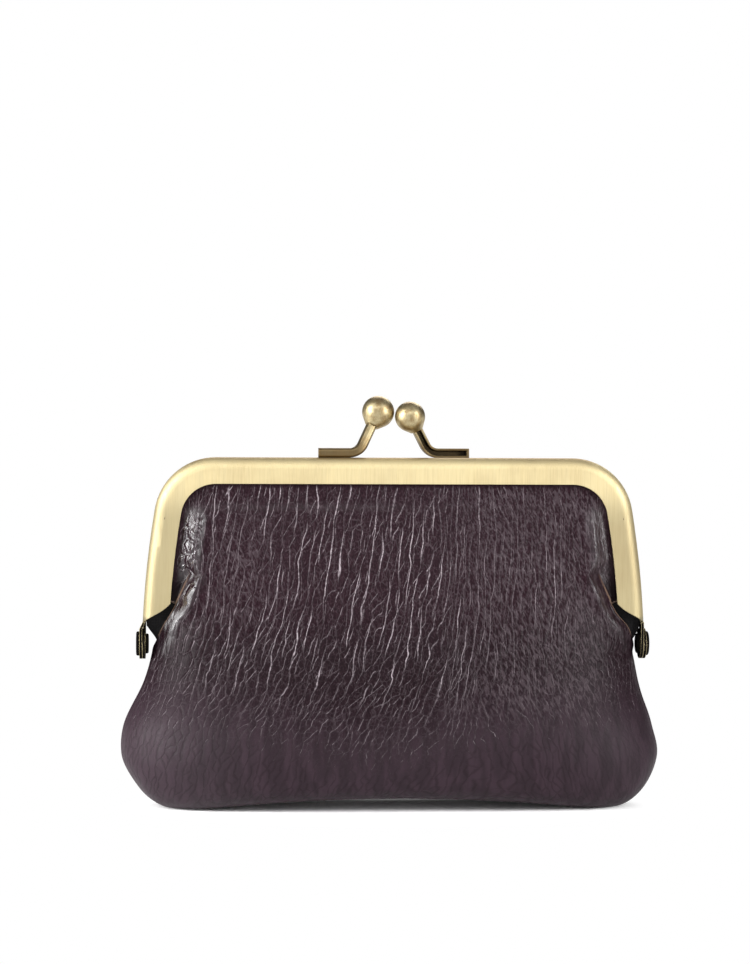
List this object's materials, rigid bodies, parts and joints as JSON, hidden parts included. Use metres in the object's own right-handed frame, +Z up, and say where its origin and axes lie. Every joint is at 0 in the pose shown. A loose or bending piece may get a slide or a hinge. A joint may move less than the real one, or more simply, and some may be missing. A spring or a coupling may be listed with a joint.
{
  "type": "kiss lock frame purse",
  "caption": "Soft leather purse sewn into a hinged brass channel frame that snaps shut with a crossing ball kiss lock.",
  "frame": {"origin": "on the surface that the purse stands on, under the middle of its bounding box", "axes": "+X along the frame's top bar and the hinge axis, +Y from the front to the back, +Z up"},
  "size_m": [0.113, 0.0359, 0.0866],
  "materials": {
    "brass": "brushed antique",
    "leather": "pebbled, satin",
    "lining": "matte",
    "paper": "matte twisted paper"
  },
  "bodies": {
    "bag": {"front_leather_panel": "leather", "back_leather_panel": "leather", "front_lining_panel": "lining", "back_lining_panel": "lining", "left_hinge_rivet": "brass", "right_hinge_rivet": "brass"},
    "front_frame": {"front_jaw": "brass", "front_clasp_post": "brass", "front_clasp_ball": "brass", "front_paper_cord": "paper"},
    "back_frame": {"back_jaw": "brass", "back_clasp_post": "brass", "back_clasp_ball": "brass", "back_paper_cord": "paper"}
  },
  "joints": [
    {"name": "front_jaw_swing", "type": "hinge", "parent": "bag", "child": "front_frame", "pos_m": [0, 0, 0.0342], "axis": [1, 0, 0], "range_deg": [0, 42], "deforming": ["front_leather_panel", "front_lining_panel"]},
    {"name": "back_jaw_swing", "type": "hinge", "parent": "bag", "child": "back_frame", "pos_m": [0, 0, 0.0342], "axis": [1, 0, 0], "range_deg": [-42, 0], "deforming": ["back_leather_panel", "back_lining_panel"]}
  ],
  "couplings": [
    {"joint": "back_jaw_swing", "follows": "front_jaw_swing", "ratio": -1}
  ]
}
